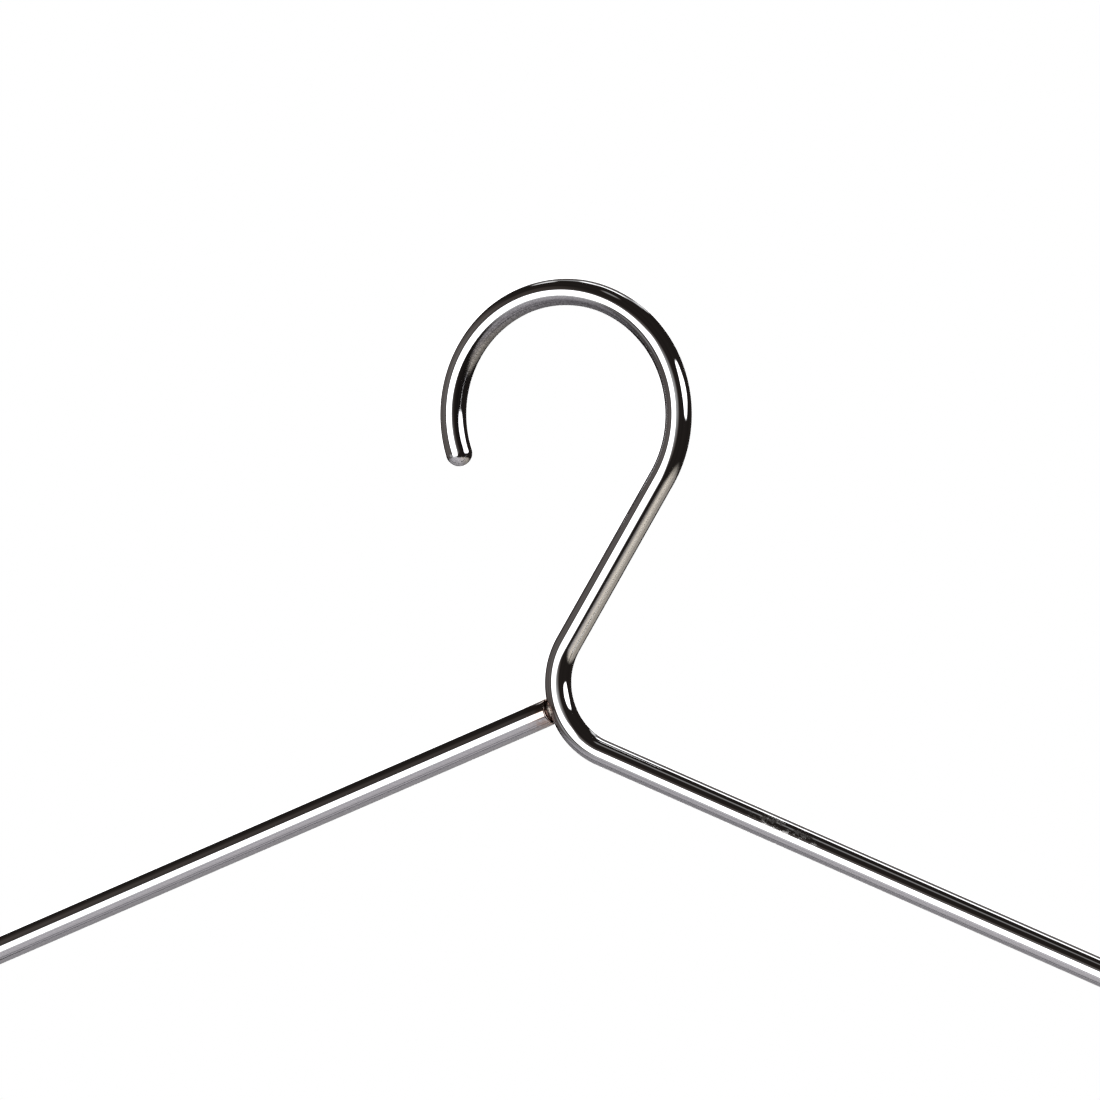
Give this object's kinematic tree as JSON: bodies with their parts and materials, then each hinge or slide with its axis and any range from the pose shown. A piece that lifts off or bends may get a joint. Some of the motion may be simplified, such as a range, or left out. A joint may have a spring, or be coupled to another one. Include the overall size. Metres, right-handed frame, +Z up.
{
  "type": "trouser hanger",
  "caption": "Chrome wire trouser hanger: open hook, sloping arms welded at the neck, bottom bar, and sprung clips with ribbed soft pads that slide and swing on the bar.",
  "frame": {"origin": "centre of the hook's bend, in the middle plane of the wire, where the rail lies", "axes": "+Z up as it hangs; +X to the right when the welded arm is on the left; +Y to the back, along the rail"},
  "size_m": [0.3999, 0.0168, 0.1967],
  "materials": {
    "chrome_wire": "bright chrome plate on drawn steel wire",
    "chrome_sheet": "bright chrome plate on pressed steel sheet",
    "weld": "heat-tinted resistance weld",
    "spring_steel": "plain zinc-bright spring wire",
    "soft_pad": "matt black soft plastic with grip grooves"
  },
  "bodies": {
    "frame": {"frame_wire": "chrome_wire", "neck_weld": "weld"},
    "left_slider": {"left_clip_spring": "spring_steel"},
    "left_back": {"left_clip_back_jaw": "chrome_sheet", "left_clip_back_pad": "soft_pad"},
    "left_front": {"left_clip_front_jaw": "chrome_sheet", "left_clip_front_pad": "soft_pad"},
    "right_slider": {"right_clip_spring": "spring_steel"},
    "right_back": {"right_clip_back_jaw": "chrome_sheet", "right_clip_back_pad": "soft_pad"},
    "right_front": {"right_clip_front_jaw": "chrome_sheet", "right_clip_front_pad": "soft_pad"}
  },
  "joints": [
    {"name": "left_slide", "type": "slide", "parent": "frame", "child": "left_slider", "axis": [1, 0, 0], "range_m": [-0.06, 0.095]},
    {"name": "left_swing", "type": "hinge", "parent": "left_slider", "child": "left_back", "pos_m": [-0.11686, 0, -0.14607], "axis": [1, 0, 0], "range_deg": [-120, 120]},
    {"name": "left_open", "type": "hinge", "parent": "left_back", "child": "left_front", "pos_m": [-0.11686, 0, -0.14607], "axis": [-1, 0, 0], "range_deg": [0, 40], "stiffness_Nm_per_rad": 0.25, "springref_deg": -57.3, "deforming": ["left_clip_spring"]},
    {"name": "right_slide", "type": "slide", "parent": "frame", "child": "right_slider", "axis": [1, 0, 0], "range_m": [-0.095, 0.06]},
    {"name": "right_swing", "type": "hinge", "parent": "right_slider", "child": "right_back", "pos_m": [0.10314, 0, -0.14607], "axis": [1, 0, 0], "range_deg": [-120, 120]},
    {"name": "right_open", "type": "hinge", "parent": "right_back", "child": "right_front", "pos_m": [0.10314, 0, -0.14607], "axis": [-1, 0, 0], "range_deg": [0, 40], "stiffness_Nm_per_rad": 0.25, "springref_deg": -57.3, "deforming": ["right_clip_spring"]}
  ]
}
